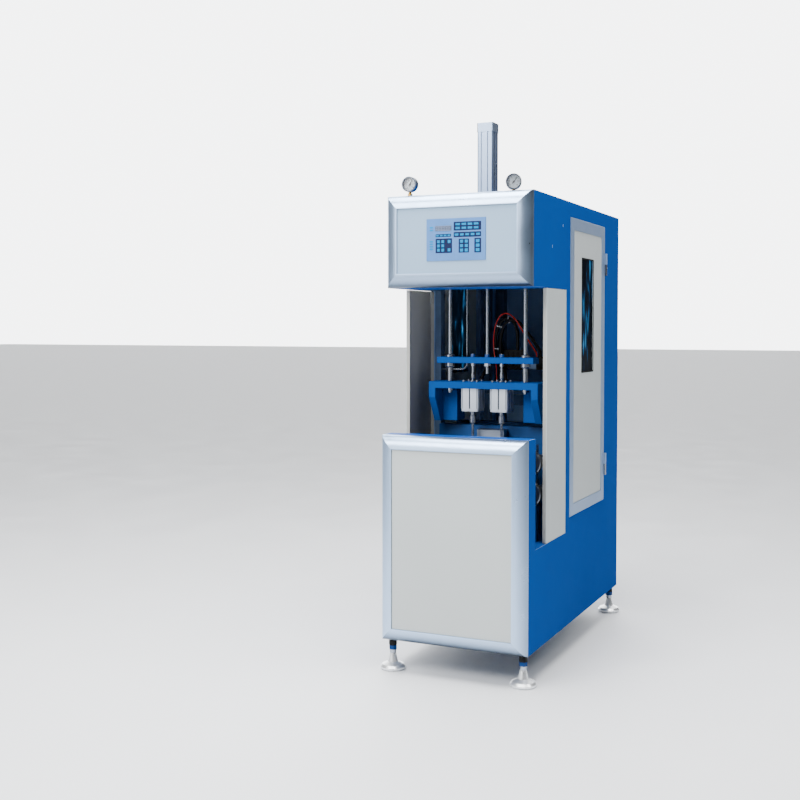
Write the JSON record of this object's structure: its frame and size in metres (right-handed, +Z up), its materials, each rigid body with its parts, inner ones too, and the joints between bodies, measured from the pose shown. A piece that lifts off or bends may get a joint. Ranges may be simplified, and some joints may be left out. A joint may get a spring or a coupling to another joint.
{
  "type": "semi-automatic stretch blow moulding machine",
  "caption": "Blow moulder for plastic bottles: stretches and blows heated blanks in a clamped two-part mould inside a guarded blue cabinet.",
  "frame": {"origin": "middle of the footprint on the floor under the feet", "axes": "+Z up, the operator stands at -Y, +X to the operator's right"},
  "size_m": [0.6, 1.297, 2.035],
  "materials": {
    "cabinet_blue": "semi-gloss powder coat, fine orange peel",
    "beam_blue": "gloss enamel",
    "frame_paint": "dark blue enamel",
    "panel_beige": "satin powder coat",
    "panel_grey": "satin powder coat, light blue-grey",
    "edge_profile": "satin anodised extrusion",
    "cylinder_profile": "natural anodised extrusion",
    "mould_metal": "polished and machined",
    "ground_steel": "ground and chromed bar",
    "bright_steel": "turned, zinc plated",
    "bronze": "turned bronze",
    "gauge_brass": "turned brass",
    "gauge_case": "polished case",
    "dial_white": "printed white dial",
    "needle_black": "black",
    "clear_glass": "clear",
    "smoked_pane": "smoked acrylic",
    "controller_front": "printed polyester front",
    "key_blue": "printed membrane fields",
    "black_plastic": "black",
    "hose_black": "black hose",
    "wire_red": "red insulated wire",
    "foot_metal": "bright plated",
    "foot_dark": "black and blue enamel"
  },
  "bodies": {
    "cabinet": {"side_panel_left": "cabinet_blue", "side_panel_right": "cabinet_blue", "rear_panel": "cabinet_blue", "roof_panel": "cabinet_blue", "front_box_liner": "cabinet_blue", "head_floor": "cabinet_blue", "base_frame": "frame_paint", "upper_frame": "frame_paint", "lower_front_panel": "panel_beige", "head_front_panel": "panel_grey", "edge_trims": "edge_profile", "controller": "controller_front", "control_keys": "key_blue", "foot_pads": "foot_metal", "foot_studs": "bright_steel", "foot_nuts": "foot_dark", "guard_pivots": "bright_steel", "cabinet_hinges": "bright_steel", "gauge_cases": "gauge_case", "gauge_dials": "dial_white", "gauge_glasses": "clear_glass", "gauge_stems": "gauge_brass", "crossplate": "frame_paint", "stretch_cylinder_tube": "cylinder_profile", "stretch_cylinder_caps": "cylinder_profile", "guide_rods": "ground_steel", "nozzle_bridge": "beam_blue", "bridge_brackets": "beam_blue", "blow_cylinders": "cylinder_profile", "bridge_fittings": "bright_steel", "air_hoses": "hose_black", "signal_wire": "wire_red", "valve_block": "black_plastic", "air_pipe": "ground_steel", "rear_fittings": "gauge_brass", "front_platen": "cabinet_blue", "rear_platen": "cabinet_blue", "tie_bars": "ground_steel", "mould_front": "mould_metal", "clamp_cylinder": "cylinder_profile"},
    "stretch": {"stretch_beam": "beam_blue", "beam_bushings": "bright_steel", "beam_nuts": "bright_steel", "stretch_rods": "ground_steel", "stretch_piston": "ground_steel"},
    "nozzles": {"blow_nozzles": "bright_steel"},
    "clamp": {"moving_platen": "cabinet_blue", "platen_bushes": "bronze", "mould_rear": "mould_metal", "clamp_piston": "ground_steel"},
    "guard_left": {"guard_left": "panel_beige"},
    "guard_right": {"guard_right": "panel_beige"},
    "door_left": {"door_frame_left": "edge_profile", "door_panel_left": "panel_beige", "door_window_left": "smoked_pane"},
    "door_right": {"door_frame_right": "edge_profile", "door_panel_right": "panel_beige", "door_window_right": "smoked_pane"},
    "needle_left": {"gauge_needle_left": "needle_black"},
    "needle_right": {"gauge_needle_right": "needle_black"}
  },
  "joints": [
    {"name": "stretch_slide", "type": "slide", "parent": "cabinet", "child": "stretch", "axis": [0, 0, 1], "range_m": [0, 0.32]},
    {"name": "nozzle_slide", "type": "slide", "parent": "cabinet", "child": "nozzles", "axis": [0, 0, -1], "range_m": [-0.002, 0.036]},
    {"name": "clamp_slide", "type": "slide", "parent": "cabinet", "child": "clamp", "axis": [0, 1, 0], "range_m": [0, 0.11]},
    {"name": "guard_left_hinge", "type": "hinge", "parent": "cabinet", "child": "guard_left", "pos_m": [-0.2725, -0.1765, 0.94], "axis": [0, 0, -1], "range_deg": [0, 110]},
    {"name": "guard_right_hinge", "type": "hinge", "parent": "cabinet", "child": "guard_right", "pos_m": [0.2725, -0.1765, 0.94], "axis": [0, 0, 1], "range_deg": [0, 110]},
    {"name": "door_left_hinge", "type": "hinge", "parent": "cabinet", "child": "door_left", "pos_m": [-0.287, 0.3905, 1.107], "axis": [0, 0, -1], "range_deg": [0, 110]},
    {"name": "door_right_hinge", "type": "hinge", "parent": "cabinet", "child": "door_right", "pos_m": [0.287, 0.3905, 1.107], "axis": [0, 0, 1], "range_deg": [0, 110]},
    {"name": "needle_left_turn", "type": "hinge", "parent": "cabinet", "child": "needle_left", "pos_m": [-0.2, -0.5475, 1.785], "axis": [0, 1, 0], "range_deg": [-160, 110], "stiffness_Nm_per_rad": 0.001},
    {"name": "needle_right_turn", "type": "hinge", "parent": "cabinet", "child": "needle_right", "pos_m": [0.2, -0.5475, 1.774], "axis": [-0.309, 0.9511, 0], "range_deg": [-173, 97], "stiffness_Nm_per_rad": 0.001}
  ]
}
